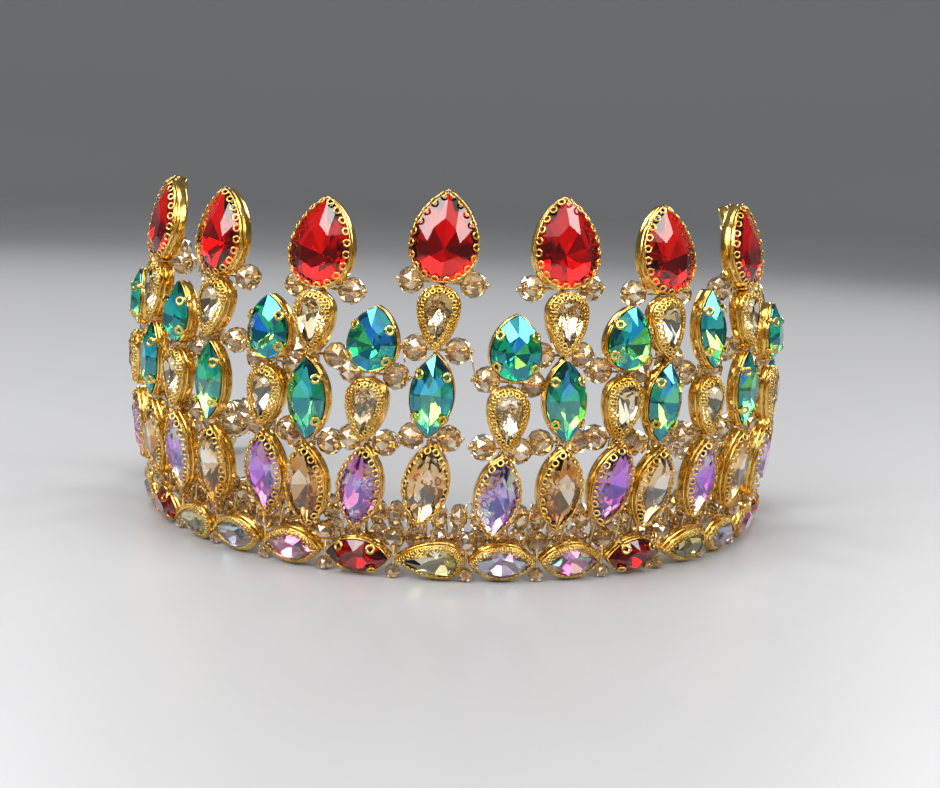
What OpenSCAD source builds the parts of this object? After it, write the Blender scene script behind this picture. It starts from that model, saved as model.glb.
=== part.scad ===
// Beaded rhinestone crown. A wire ring, open at the back, carries nine tall and eight
// short columns of glass stones in gold cups, a row of lying stones along its foot, and
// faceted glass beads between them. The origin is the centre of the ring at table level,
// +Z is up, the middle of the front is at -Y, and an angle grows towards +X.

/* [Ring] */
// Radius of the stone faces where the crown is widest
face_radius = 80; // [79:0.5:88]
// Radius of the upright curve on which all the stone faces lie
profile_radius = 161; // [150:1:200]
// Height at which the crown is widest
widest_level = 38.8; // [36:0.2:42]
// Angle from the middle of the front to each open end of the ring
end_angle = 122; // [121:0.5:124]

/* [Columns] */
// Angle between neighbouring columns across the front
column_step = 9.5; // [9.5:0.05:9.8]
// Angle of the last short column on each side
last_short_angle = 70; // [69:0.5:73]
// Angle of the last tall column on each side
last_tall_angle = 88; // [86:0.5:91]
// How far the upper half of the leftmost tall column leans in
left_end_lean = 3; // [0:0.5:6]
// How far the upper half of the rightmost tall column leans in
right_end_lean = 11; // [0:0.5:12]

/* [Stones and cups] */
// Length of a red drop's cup
red_length = 18.4; // [17:0.1:18.5]
// Width of a red drop's cup
red_width = 13.8; // [12:0.1:14]
// Length of the upright marquise cups on the foot
foot_marquise_length = 17.9; // [17:0.1:18]
// Width of the upright marquise cups on the foot
foot_marquise_width = 9.5; // [8.5:0.1:9.6]
// Length of a green marquise's cup
green_marquise_length = 17.2; // [16:0.1:17.3]
// Width of a green marquise's cup
green_marquise_width = 9.1; // [8.5:0.1:9.4]
// Length of a champagne drop's cup
champagne_length = 13.2; // [12:0.1:13.3]
// Width of a champagne drop's cup
champagne_width = 8.6; // [8:0.1:8.8]
// Length of a green drop's cup
green_drop_length = 13.4; // [12.5:0.1:13.8]
// Width of a green drop's cup
green_drop_width = 10.6; // [9.5:0.1:10.8]
// Length of a lying stone's cup
base_length = 14; // [13:0.1:14]
// Width of a lying stone's cup
base_width = 8; // [7.4:0.1:8]
// Depth of an upright stone's cup, from rim to back
cup_depth = 3.6; // [3.5:0.1:3.8]
// Depth of a lying stone's cup
base_cup_depth = 3.2; // [3:0.1:3.3]

/* [Beads and wires] */
// Diameter of a faceted bead
bead_diameter = 5.7; // [5:0.1:5.7]
// Length of a faceted bead along its hole
bead_length = 4.8; // [4.2:0.1:4.8]
// Radius of the two wires that carry the bead rows
row_wire_radius = 0.45; // [0.4:0.01:0.48]
// Radius of the wire stem of a column
stem_radius = 0.35; // [0.3:0.01:0.37]
// Radius of the thin binding wires
thin_wire_radius = 0.3; // [0.25:0.01:0.32]

/* [Ribbon eyes] */
// Outer radius of the eye at each open end
eye_radius = 6; // [5.5:0.1:6.5]
// Radius of the hole that a ribbon or a comb goes through
eye_hole_radius = 3; // [2.5:0.1:3.2]
// Thickness of the eye
eye_thickness = 3; // [2.6:0.1:3.4]

/* [Hidden] */

smooth = 96;

// Hand stringing moves a column a little along the ring, in degrees.
tall_offsets = [0, 0, 0, -0.6, -0.9, 0.5, -2.2, 0, 0];
short_offsets = [0, 0, 1.5, -1.4, 0.3, -0.8, -1, 0];
// It also lifts or drops the stones of a column a little, in millimetres.
tall_lifts = [0, 0, -1, -1.5, 1, 0.5, -0.5, 0, 0];
short_lifts = [0, 0, 0, -0.5, -1, 1, 0, -1];
// And a column sways to its right as seen from outside, in degrees, above its foot.
tall_sways = [0, 0, 0, 2, 2, -1, 1, 0, 0];
short_sways = [0, 0, 2, 4, 4, 3.5, -1, 0];

// Where the columns stand, from left to right.
tall_angles = [
    for (i = [0:8])
        tall_offsets[i]
        + (i == 0 ? -last_tall_angle : i == 8 ? last_tall_angle : (2 * i - 8) * column_step)
];
short_angles = [
    for (i = [0:7])
        short_offsets[i]
        + (i == 0 ? -last_short_angle : i == 7 ? last_short_angle : (2 * i - 7) * column_step)
];
stops = [
    -end_angle,
    for (i = [0:7])
        each [tall_angles[i], short_angles[i]],
    tall_angles[8], end_angle
];

// How far each hand-strung stone is turned in its own plane, clockwise from outside.
red_turns = [0, -3, -3, 2, 0, -2, -5, 0, 0];
amber_turns = [0, 3, 3, -3, 7, 3, 9, 6, 0];
green_marquise_turns = [0, 2, 2, -3, 2, -2, 3, 0, 0];
tall_champagne_turns = [0, 8, 14, -3, 0, 3, -4, -6, 0];
crystal_turns = [0, -4, -2, 3, 2, 8, 3, 8];
green_drop_turns = [0, -2, -4, 2, -2, 4, -3, 2];
short_champagne_turns = [0, 3, 4, 0, -3, 4, -3, 0];

// Heights of the stone centres above the table.
base_level = 4;
foot_marquise_level = 19.45;
green_marquise_level = 37.9;
tall_champagne_level = 53.3;
red_level = 69.3;
short_champagne_level = 35.6;
green_drop_level = 50.1;
// This short column, counted from zero, is topped by a green marquise instead of a drop.
odd_column = 6;
odd_marquise_level = 52;
// The bead pairs sit where two stones of a column meet.
foot_joint_level = 28.85;
tall_middle_joint_level = 46.65;
tall_top_joint_level = 59.9;
short_joint_level = 42.7;
// Half the distance between the two beads of a pair.
foot_joint_reach = 3.65;
tall_middle_joint_reach = 4.2;
tall_top_joint_reach = 6.1;
short_joint_reach = 4.6;

// Lying stones: one in the middle, and the same number on each side.
base_count_each_side = 10;
base_step = end_angle * 2 / (2 * base_count_each_side + 1.4);

// Cup walls, rim and seat, and the stone inside them.
wall = 0.75;
gap = 0.1;
back_plate = 0.4;
rim_height = 0.35;
rim_width = 1.25;
groove_depth = 0.15;
groove_width = 0.3;
groove_level = 1.5;
girdle_top = 0.5;
girdle_bottom = 0.9;
table_height = 1.3;
table_scale = 0.55;
culet_clearance = 0.3;
stone_points = 12;

// Eyelet claws of the cups that have no lace rim.
claw_radius = 1.1;
claw_hole_radius = 0.45;
claw_thickness = 0.35;
claw_slope = 42;
claw_inset = 1.62;
claw_rise = 0.5;
// Claws of a pointed oval stand at this share of its length above and below its middle,
// and those of a drop at these angles on its upper and lower arcs.
claw_place = 0.27;
upper_claw_angle = 28;
lower_claw_angle = -32;

// Wires, each just touching the next.
stem_depth = cup_depth + gap + stem_radius;
cross_depth = stem_depth + stem_radius + thin_wire_radius;
base_wire_depth = base_cup_depth + gap + thin_wire_radius;
tie_depth = 1.6;
// Thin wires between the lying stones: an upright, and a bar back to the wire behind them.
tie_wire_length = 9.4;
tie_wire_start = 0.1;
tie_bar_rise = 1.3;
tie_bar_radius = 0.24;
loop_wire_radius = 0.25;
loop_clearance = 0.06;
bead_end_share = 0.53;
bead_band_share = 0.25;
bead_hole_radius = 0.58;
thin_hole_radius = 0.38;
kink_radius = stem_radius * 1.1;
cross_wire_inset = 0.15;

// Bead rows behind the foot.
upper_row_level = 12.6;
lower_row_level = 7.6;
upper_row_radius = face_r(upper_row_level) - cup_depth - bead_diameter / 2 - 0.05;
lower_row_radius = face_r(lower_row_level) - 6.5;
row_bead_length = 3.4;
bead_pitch_angle = 2.85;
// Room that a row leaves free on each side of a stem, as an angle.
stem_room = 0.4;

// Small beads above and below the place where two lying stones meet.
tie_bead_diameter = 4.9;
tie_bead_length = 3.6;
tie_bead_level = 8.35;
low_tie_bead_diameter = 3.4;
low_tie_bead_length = 2.5;
low_tie_bead_level = 1.4;

// Foot of a stem: it leaves its curve here and steps back to the row wires.
stem_leave_level = 16;
stem_foot_level = 5.2;
stem_top_in_red = 4;
stem_top_in_drop = 3;
red_stem_top = red_level + stem_top_in_red;
short_stem_top = green_drop_level + stem_top_in_drop;

// The row wires run into the rims of the ribbon eyes, which stand in line with them.
row_wire_angle = end_angle + 1;
eye_level = (upper_row_level + lower_row_level) / 2;
eye_row_radius = (upper_row_radius + lower_row_radius) / 2;
eye_overlap = 0.6;
eye_angle = end_angle + asin((eye_radius - eye_overlap) / eye_row_radius);
eye_chamfer = 0.5;

// Colours.
gold = [0.86, 0.65, 0.24];
wire_gold = [0.80, 0.72, 0.50];
champagne = [0.85, 0.72, 0.52, 0.8];
cream = [0.90, 0.84, 0.68];

// ---- Places on the crown ----

// Distance of the stone faces from the axis at a height.
function face_r(z) =
    face_radius - profile_radius + sqrt(pow(profile_radius, 2) - pow(z - widest_level, 2));

// How far the face looks up at a height.
function face_tilt(z) = asin((z - widest_level) / profile_radius);

// Lean of the upper half of a tall column.
function lean_of(i) = i == 0 ? left_end_lean : i == 8 ? right_end_lean : 0;

// Puts a piece on the face curve: its X runs around the ring, Y up and Z outward.
module on_face(angle, z, turn = 0) {
    rotate([0, 0, angle])
        translate([0, -face_r(z), z])
            rotate([90 - face_tilt(z), 0, 0])
                rotate([0, 0, -turn])
                    children();
}

// Turns the upper half of a column inward about the joint above its foot stone.
module leaned(angle, lean) {
    pivot = face_r(foot_joint_level) - stem_depth;
    rotate([0, 0, angle])
        translate([0, -pivot, foot_joint_level])
            rotate([-lean, 0, 0])
                translate([0, pivot, -foot_joint_level])
                    rotate([0, 0, -angle])
                        children();
}

// Tips a column sideways about the place where its stem steps back to the row wires.
module swayed(angle, sway) {
    rotate([0, 0, angle])
        translate([0, 0, stem_leave_level])
            rotate([0, sway, 0])
                translate([0, 0, -stem_leave_level])
                    rotate([0, 0, -angle])
                        children();
}

// Puts a stone in a tall or a short column. The foot stones don't lean.
module on_tall(i, z, turn) {
    swayed(tall_angles[i], tall_sways[i])
        leaned(tall_angles[i], z > foot_joint_level ? lean_of(i) : 0)
            on_face(tall_angles[i], z + tall_lifts[i], turn)
                children();
}

module on_short(i, z, turn) {
    swayed(short_angles[i], short_sways[i])
        on_face(short_angles[i], z + short_lifts[i], turn)
            children();
}

// ---- Outlines ----

// Pointed oval: two equal arcs that meet in a point at the top and the bottom.
function lens_r(l, w) = (pow(l / 2, 2) + pow(w / 2, 2)) / w;

module lens(l, w, grow = 0) {
    r = lens_r(l, w);
    intersection() {
        translate([w / 2 - r, 0])
            circle(r + grow, $fn = smooth);
        translate([r - w / 2, 0])
            circle(r + grow, $fn = smooth);
    }
}

function lens_points(l, w, grow, n) =
    let (
        r = lens_r(l, w) + grow,
        c = lens_r(l, w) - w / 2,
        reach = acos(c / r),
        half = n / 2
    )
    [
        for (i = [0:half - 1])
            let (a = -reach + 2 * reach * i / half) [r * cos(a) - c, r * sin(a)],
        for (i = [0:half - 1])
            let (a = 180 - reach + 2 * reach * i / half) [r * cos(a) + c, r * sin(a)]
    ];

// Drop: a round bottom that runs into two flat arcs, which meet in a point at the top.
function drop_tip(l, w) = l - w / 2;
function drop_r(l, w) = (pow(drop_tip(l, w), 2) + pow(w / 2, 2)) / w;

function drop_points(l, w, grow, n) =
    let (
        small = w / 2 + grow,
        c = drop_r(l, w) - w / 2,
        big = drop_r(l, w) + grow,
        reach = acos(c / big),
        side = n / 4,
        low = n / 2,
        y0 = -(drop_tip(l, w) - w / 2) / 2
    )
    [
        for (i = [0:low - 1])
            let (a = 180 + 180 * i / low) [small * cos(a), small * sin(a) + y0],
        for (i = [0:side - 1])
            let (a = reach * i / side) [big * cos(a) - c, big * sin(a) + y0],
        for (i = [0:side - 1])
            let (a = 180 - reach + reach * i / side) [big * cos(a) + c, big * sin(a) + y0]
    ];

module drop(l, w, grow = 0) {
    polygon(drop_points(l, w, grow, 20));
}

module outline(shape, l, w, grow = 0) {
    if (shape == "drop")
        drop(l, w, grow);
    else
        lens(l, w, grow);
}

// ---- Stones and cups, lying face up with the rim of the cup at Z = 0 ----

module stone(shape, l, w, depth) {
    inset = -(wall + gap);
    points = shape == "drop"
        ? drop_points(l, w, inset, stone_points)
        : lens_points(l, w, inset, stone_points);
    n = stone_points;
    y_centre = shape == "drop" ? -(drop_tip(l, w) - w / 2) / 2 : 0;
    culet = -(depth - back_plate - culet_clearance);
    polyhedron(
        points = [
            for (p = points)
                [p.x * table_scale, y_centre + (p.y - y_centre) * table_scale, table_height],
            for (p = points) [p.x, p.y, -girdle_top],
            for (p = points) [p.x, p.y, -girdle_bottom],
            [0, y_centre, culet]
        ],
        faces = [
            [for (i = [n - 1:-1:0]) i],
            for (ring = [0, 1])
                for (i = [0:n - 1])
                    [ring * n + i, ring * n + (i + 1) % n, (ring + 1) * n + (i + 1) % n],
            for (ring = [0, 1])
                for (i = [0:n - 1])
                    [ring * n + i, (ring + 1) * n + (i + 1) % n, (ring + 1) * n + i],
            for (i = [0:n - 1]) [2 * n + i, 2 * n + (i + 1) % n, 3 * n]
        ]
    );
}

// Small loop on the back of a cup that its wire runs through.
module back_loop(depth, wire_radius, along) {
    translate([0, 0, -depth - gap - wire_radius])
        rotate(along == "up" ? [90, 0, 0] : [0, 90, 0])
            rotate_extrude($fn = 32)
                translate([wire_radius + loop_clearance + loop_wire_radius, 0])
                    circle(loop_wire_radius, $fn = 24);
}

module cup(shape, l, w, depth, wire_radius = stem_radius, along = "up") {
    difference() {
        union() {
            translate([0, 0, -depth])
                linear_extrude(depth - groove_level)
                    outline(shape, l, w);
            translate([0, 0, -groove_level - 0.05])
                linear_extrude(groove_width + 0.1)
                    outline(shape, l, w, -groove_depth);
            translate([0, 0, groove_width - groove_level])
                linear_extrude(groove_level - groove_width + rim_height)
                    outline(shape, l, w);
        }
        translate([0, 0, back_plate - depth])
            linear_extrude(depth - back_plate)
                outline(shape, l, w, -wall);
        translate([0, 0, -1])
            linear_extrude(2)
                outline(shape, l, w, -rim_width);
    }
    back_loop(depth, wire_radius, along);
}

// One flat eyelet folded over the stone; X points out of the cup.
module claw() {
    translate([-claw_inset, 0, claw_rise])
        rotate([0, claw_slope, 0])
            difference() {
                cylinder(r = claw_radius, h = claw_thickness, $fn = 32);
                translate([0, 0, -1])
                    cylinder(r = claw_hole_radius, h = 3, $fn = 24);
            }
}

module lens_claws(l, w) {
    r = lens_r(l, w);
    c = r - w / 2;
    a = asin(claw_place * l / r);
    for (side = [0, 1], end = [-1, 1])
        mirror([side, 0, 0])
            translate([r * cos(a) - c, end * r * sin(a), 0])
                rotate([0, 0, end * a])
                    claw();
}

module drop_claws(l, w) {
    y0 = -(drop_tip(l, w) - w / 2) / 2;
    big = drop_r(l, w);
    upper = upper_claw_angle;
    lower = lower_claw_angle;
    for (side = [0, 1])
        mirror([side, 0, 0]) {
            translate([big * cos(upper) - big + w / 2, big * sin(upper) + y0, 0])
                rotate([0, 0, upper])
                    claw();
            translate([w / 2 * cos(lower), w / 2 * sin(lower) + y0, 0])
                rotate([0, 0, lower])
                    claw();
        }
}

// ---- Beads and wires ----

// Faceted bead with its hole along Z.
module bead(diameter = bead_diameter, length = bead_length, hole = bead_hole_radius) {
    r = diameter / 2;
    h = length / 2;
    rotate_extrude($fn = 48)
        polygon([
            [hole, -h], [r * bead_end_share, -h], [r, -h * bead_band_share],
            [r, h * bead_band_share], [r * bead_end_share, h], [hole, h]
        ]);
}

// Upright wire that follows the face curve at a depth behind it, between two heights.
module curved_wire(depth, low, high, radius) {
    r = profile_radius - depth;
    a = asin((low - widest_level) / r);
    b = asin((high - widest_level) / r);
    translate([0, profile_radius - face_radius, widest_level])
        rotate([90, 0, -90])
            rotate([0, 0, a])
                rotate_extrude(angle = b - a, $fn = smooth)
                    translate([r, 0])
                        circle(radius, $fn = 24);
}

// Distance of that wire from the axis at a height.
function wire_r(depth, z) =
    face_radius - profile_radius
    + sqrt(pow(profile_radius - depth, 2) - pow(z - widest_level, 2));

// Straight piece of wire between two points given as [distance from the axis, height].
module straight_wire(p, q, radius) {
    translate([0, -p[0], p[1]])
        rotate([atan2(q[0] - p[0], q[1] - p[1]), 0, 0])
            cylinder(r = radius, h = norm(q - p), $fn = 24);
}

module kink(p) {
    translate([0, -p[0], p[1]])
        sphere(kink_radius, $fn = 24);
}

// Lower end of a stem: it steps back to touch the two row wires.
module stem_foot() {
    touch = row_wire_radius + stem_radius;
    path = [
        [wire_r(stem_depth, stem_leave_level), stem_leave_level],
        [upper_row_radius + touch, upper_row_level],
        [lower_row_radius + touch, lower_row_level],
        [lower_row_radius + touch, stem_foot_level]
    ];
    for (i = [0:2]) {
        straight_wire(path[i], path[i + 1], stem_radius);
        kink(path[i]);
    }
}

module stem(angle, top, sway, lean = 0) {
    rotate([0, 0, angle])
        stem_foot();
    swayed(angle, sway) {
        rotate([0, 0, angle]) {
            curved_wire(stem_depth, stem_leave_level, foot_joint_level, stem_radius);
            kink([wire_r(stem_depth, foot_joint_level), foot_joint_level]);
        }
        leaned(angle, lean)
            rotate([0, 0, angle])
                curved_wire(stem_depth, foot_joint_level, top, stem_radius);
    }
}

// Places a pair of beads, or their wire, across a column.
module across(angle, z, lift, sway, lean = 0) {
    swayed(angle, sway)
        leaned(angle, z > foot_joint_level ? lean : 0)
            rotate([0, 0, angle])
                translate([0, -wire_r(cross_depth, z + lift), z + lift])
                    children();
}

module across_tall(i, z) {
    across(tall_angles[i], z, tall_lifts[i], tall_sways[i], lean_of(i))
        children();
}

module across_short(i, z) {
    across(short_angles[i], z, short_lifts[i], short_sways[i])
        children();
}

module bead_pair(reach) {
    for (side = [-1, 1])
        translate([side * reach, 0, 0])
            rotate([0, 90, 0])
                bead(hole = thin_hole_radius);
}

module cross_wire(reach) {
    half = reach + bead_length / 2 - cross_wire_inset;
    rotate([0, 90, 0])
        cylinder(r = thin_wire_radius, h = 2 * half, center = true, $fn = 24);
}

// Level ring of wire, open at the back.
module ring_wire(ring_radius, z, radius, half_angle) {
    translate([0, 0, z])
        rotate([0, 0, -90 - half_angle])
            rotate_extrude(angle = 2 * half_angle, $fn = smooth)
                translate([ring_radius, 0])
                    circle(radius, $fn = 24);
}

// Row of beads that fills each stretch between two stems.
module bead_row(ring_radius, z) {
    for (s = [0:len(stops) - 2]) {
        stretch = stops[s + 1] - stops[s] - 2 * stem_room;
        count = floor(stretch / bead_pitch_angle);
        for (i = [0:count - 1])
            rotate([0, 0, stops[s] + stem_room + stretch * (i + 0.5) / count])
                translate([0, -ring_radius, z])
                    rotate([0, 90, 0])
                        bead(length = row_bead_length);
    }
}

// Lying stones repeat in fours: drop, crystal, rose, red.
module each_base(kind) {
    for (k = [-base_count_each_side:base_count_each_side])
        if ((k + 4 * base_count_each_side) % 4 == kind)
            on_face(k * base_step, base_level)
                rotate([0, 0, 90])
                    children();
}

// Places where two lying stones meet.
module each_base_joint() {
    for (k = [-base_count_each_side:base_count_each_side - 1])
        rotate([0, 0, (k + 0.5) * base_step])
            translate([0, -face_r(base_level) + tie_depth, 0])
                children();
}

module base_cup(shape) {
    cup(shape, base_length, base_width, base_cup_depth, thin_wire_radius, "across");
}

module base_stone(shape) {
    stone(shape, base_length, base_width, base_cup_depth);
}

// ---- Sub-parts: wires and eyes ----

module base_wire_upper() {
    color(wire_gold)
        ring_wire(upper_row_radius, upper_row_level, row_wire_radius, row_wire_angle);
}

module base_wire_lower() {
    color(wire_gold)
        ring_wire(lower_row_radius, lower_row_level, row_wire_radius, row_wire_angle);
}

module base_stone_wire() {
    centre = face_r(base_level) - base_wire_depth * cos(face_tilt(base_level));
    level = base_level - base_wire_depth * sin(face_tilt(base_level));
    color(wire_gold)
        ring_wire(centre, level, thin_wire_radius, (base_count_each_side + 0.4) * base_step);
}

module base_tie_wires() {
    bar_length = base_wire_depth - tie_depth;
    color(wire_gold)
        each_base_joint() {
            translate([0, 0, low_tie_bead_level - low_tie_bead_length / 2 + tie_wire_start])
                cylinder(r = thin_wire_radius, h = tie_wire_length, $fn = 24);
            translate([0, 0, base_level + tie_bar_rise])
                rotate([-90, 0, 0])
                    cylinder(r = tie_bar_radius, h = bar_length, $fn = 24);
        }
}

module tall_stem_wires() {
    color(wire_gold)
        for (i = [0:8])
            stem(tall_angles[i], red_stem_top, tall_sways[i], lean_of(i));
}

module short_stem_wires() {
    color(wire_gold)
        for (i = [0:7])
            stem(short_angles[i], short_stem_top, short_sways[i]);
}

module bead_cross_wires() {
    color(wire_gold) {
        for (i = [0:8]) {
            across_tall(i, foot_joint_level)
                cross_wire(foot_joint_reach);
            across_tall(i, tall_middle_joint_level)
                cross_wire(tall_middle_joint_reach);
            across_tall(i, tall_top_joint_level)
                cross_wire(tall_top_joint_reach);
        }
        for (i = [0:7]) {
            across_short(i, foot_joint_level)
                cross_wire(foot_joint_reach);
            across_short(i, short_joint_level)
                cross_wire(short_joint_reach);
        }
    }
}

// Round eye with a straight hole; the row wires end in two pockets in its rim.
module ribbon_eye(side) {
    c = eye_chamfer;
    h = eye_thickness / 2;
    difference() {
        rotate([0, 0, side * eye_angle])
            translate([0, -eye_row_radius, eye_level])
                rotate([90, 0, 0])
                    rotate_extrude($fn = 64)
                        polygon([
                            [eye_hole_radius, -h + c], [eye_hole_radius + c, -h],
                            [eye_radius - c, -h], [eye_radius, -h + c],
                            [eye_radius, h - c], [eye_radius - c, h],
                            [eye_hole_radius + c, h], [eye_hole_radius, h - c]
                        ]);
        ring_wire(upper_row_radius, upper_row_level, row_wire_radius, row_wire_angle);
        ring_wire(lower_row_radius, lower_row_level, row_wire_radius, row_wire_angle);
    }
}

module ribbon_eye_left() {
    color(cream)
        ribbon_eye(-1);
}

module ribbon_eye_right() {
    color(cream)
        ribbon_eye(1);
}

// ---- Sub-parts: beads ----

module base_beads_upper() {
    color(champagne)
        bead_row(upper_row_radius, upper_row_level);
}

module base_beads_lower() {
    color(champagne)
        bead_row(lower_row_radius, lower_row_level);
}

module base_tie_beads() {
    color(champagne)
        each_base_joint() {
            translate([0, 0, tie_bead_level])
                bead(tie_bead_diameter, tie_bead_length, thin_hole_radius);
            translate([0, 0, low_tie_bead_level])
                bead(low_tie_bead_diameter, low_tie_bead_length, thin_hole_radius);
        }
}

module tall_column_beads() {
    color(champagne)
        for (i = [0:8]) {
            across_tall(i, foot_joint_level)
                bead_pair(foot_joint_reach);
            across_tall(i, tall_middle_joint_level)
                bead_pair(tall_middle_joint_reach);
            across_tall(i, tall_top_joint_level)
                bead_pair(tall_top_joint_reach);
        }
}

module short_column_beads() {
    color(champagne)
        for (i = [0:7]) {
            across_short(i, foot_joint_level)
                bead_pair(foot_joint_reach);
            across_short(i, short_joint_level)
                bead_pair(short_joint_reach);
        }
}

// ---- Sub-parts: lying stones of the foot ----

module base_drop_cups() {
    color(gold)
        each_base(0)
            base_cup("drop");
}

module base_drop_stones() {
    color([0.93, 0.86, 0.62, 0.8])
        each_base(0)
            base_stone("drop");
}

module base_crystal_cups() {
    color(gold)
        each_base(1)
            base_cup("lens");
}

module base_crystal_stones() {
    color([0.80, 0.86, 0.82, 0.8])
        each_base(1)
            base_stone("lens");
}

module base_rose_cups() {
    color(gold)
        each_base(2)
            base_cup("lens");
}

module base_rose_stones() {
    color([0.88, 0.55, 0.70, 0.8])
        each_base(2)
            base_stone("lens");
}

module base_red_cups() {
    color(gold)
        each_base(3) {
            base_cup("lens");
            lens_claws(base_length, base_width);
        }
}

module base_red_stones() {
    color([0.70, 0.05, 0.03, 0.8])
        each_base(3)
            base_stone("lens");
}

// ---- Sub-parts: tall columns ----

module amber_marquise_cups() {
    color(gold)
        for (i = [0:8])
            on_tall(i, foot_marquise_level, amber_turns[i])
                cup("lens", foot_marquise_length, foot_marquise_width, cup_depth);
}

module amber_marquise_stones() {
    color([0.88, 0.60, 0.28, 0.8])
        for (i = [0:8])
            on_tall(i, foot_marquise_level, amber_turns[i])
                stone("lens", foot_marquise_length, foot_marquise_width, cup_depth);
}

// Nine in the tall columns, and one at the top of the odd short column.
module each_green_marquise() {
    for (i = [0:8])
        on_tall(i, green_marquise_level, green_marquise_turns[i])
            children();
    on_short(odd_column, odd_marquise_level, green_drop_turns[odd_column])
        children();
}

module green_marquise_cups() {
    color(gold)
        each_green_marquise() {
            cup("lens", green_marquise_length, green_marquise_width, cup_depth);
            lens_claws(green_marquise_length, green_marquise_width);
        }
}

module green_marquise_stones() {
    color([0.10, 0.62, 0.48, 0.8])
        each_green_marquise()
            stone("lens", green_marquise_length, green_marquise_width, cup_depth);
}

// The champagne drops hang with their point down.
module tall_champagne_cups() {
    color(gold)
        for (i = [0:8])
            on_tall(i, tall_champagne_level, 180 + tall_champagne_turns[i])
                cup("drop", champagne_length, champagne_width, cup_depth);
}

module tall_champagne_stones() {
    color([0.93, 0.88, 0.74, 0.8])
        for (i = [0:8])
            on_tall(i, tall_champagne_level, 180 + tall_champagne_turns[i])
                stone("drop", champagne_length, champagne_width, cup_depth);
}

module red_cup(i) {
    color(gold)
        on_tall(i - 1, red_level, red_turns[i - 1])
                cup("drop", red_length, red_width, cup_depth);
}

module red_stone(i) {
    color([0.80, 0.03, 0.05, 0.8])
        on_tall(i - 1, red_level, red_turns[i - 1])
                stone("drop", red_length, red_width, cup_depth);
}

// ---- Sub-parts: short columns ----

module crystal_marquise_cups() {
    color(gold)
        for (i = [0:7])
            on_short(i, foot_marquise_level, crystal_turns[i])
                cup("lens", foot_marquise_length, foot_marquise_width, cup_depth);
}

module crystal_marquise_stones() {
    color([0.78, 0.48, 0.86, 0.8])
        for (i = [0:7])
            on_short(i, foot_marquise_level, crystal_turns[i])
                stone("lens", foot_marquise_length, foot_marquise_width, cup_depth);
}

module short_champagne_cups() {
    color(gold)
        for (i = [0:7])
            on_short(i, short_champagne_level, 180 + short_champagne_turns[i])
                cup("drop", champagne_length, champagne_width, cup_depth);
}

module short_champagne_stones() {
    color([0.93, 0.88, 0.74, 0.8])
        for (i = [0:7])
            on_short(i, short_champagne_level, 180 + short_champagne_turns[i])
                stone("drop", champagne_length, champagne_width, cup_depth);
}

module each_green_drop() {
    for (i = [0:7])
        if (i != odd_column)
            on_short(i, green_drop_level, green_drop_turns[i])
                children();
}

module green_drop_cups() {
    color(gold)
        each_green_drop() {
            cup("drop", green_drop_length, green_drop_width, cup_depth);
            drop_claws(green_drop_length, green_drop_width);
        }
}

module green_drop_stones() {
    color([0.10, 0.60, 0.72, 0.8])
        each_green_drop()
            stone("drop", green_drop_length, green_drop_width, cup_depth);
}

// ---- The crown ----

base_wire_upper();
base_wire_lower();
base_stone_wire();
base_tie_wires();
tall_stem_wires();
short_stem_wires();
bead_cross_wires();
ribbon_eye_left();
ribbon_eye_right();
base_beads_upper();
base_beads_lower();
base_tie_beads();
tall_column_beads();
short_column_beads();
base_drop_cups();
base_drop_stones();
base_crystal_cups();
base_crystal_stones();
base_rose_cups();
base_rose_stones();
base_red_cups();
base_red_stones();
amber_marquise_cups();
amber_marquise_stones();
crystal_marquise_cups();
crystal_marquise_stones();
green_marquise_cups();
green_marquise_stones();
green_drop_cups();
green_drop_stones();
tall_champagne_cups();
tall_champagne_stones();
short_champagne_cups();
short_champagne_stones();
red_cup(1);  // red_cup_1
red_cup(2);  // red_cup_2
red_cup(3);  // red_cup_3
red_cup(4);  // red_cup_4
red_cup(5);  // red_cup_5
red_cup(6);  // red_cup_6
red_cup(7);  // red_cup_7
red_cup(8);  // red_cup_8
red_cup(9);  // red_cup_9
red_stone(1);  // red_stone_1
red_stone(2);  // red_stone_2
red_stone(3);  // red_stone_3
red_stone(4);  // red_stone_4
red_stone(5);  // red_stone_5
red_stone(6);  // red_stone_6
red_stone(7);  // red_stone_7
red_stone(8);  // red_stone_8
red_stone(9);  // red_stone_9
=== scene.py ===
"""Looks of a beaded rhinestone crown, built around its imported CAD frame.

Lengths are in millimetres until a piece is made, and angles are in degrees. The origin is
the centre of the ring on the table, +Z is up and the middle of the front is at -Y."""
import bisect
import math
import random

import bpy
from mathutils import Matrix, Vector


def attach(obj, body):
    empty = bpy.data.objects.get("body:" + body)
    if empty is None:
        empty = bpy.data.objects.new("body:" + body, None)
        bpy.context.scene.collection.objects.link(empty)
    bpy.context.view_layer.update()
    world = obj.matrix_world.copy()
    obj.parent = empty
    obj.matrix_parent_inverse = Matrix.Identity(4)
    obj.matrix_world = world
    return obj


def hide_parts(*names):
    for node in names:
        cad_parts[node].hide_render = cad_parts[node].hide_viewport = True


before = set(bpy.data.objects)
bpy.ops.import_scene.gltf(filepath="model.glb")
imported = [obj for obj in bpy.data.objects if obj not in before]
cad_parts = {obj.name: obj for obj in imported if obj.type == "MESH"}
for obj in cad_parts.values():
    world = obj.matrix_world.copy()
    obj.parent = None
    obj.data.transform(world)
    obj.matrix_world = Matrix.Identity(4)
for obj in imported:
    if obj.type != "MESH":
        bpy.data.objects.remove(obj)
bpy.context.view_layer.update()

MM = 0.001
BODY = "root"

# ---- Layout, as in the CAD frame ----

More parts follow.
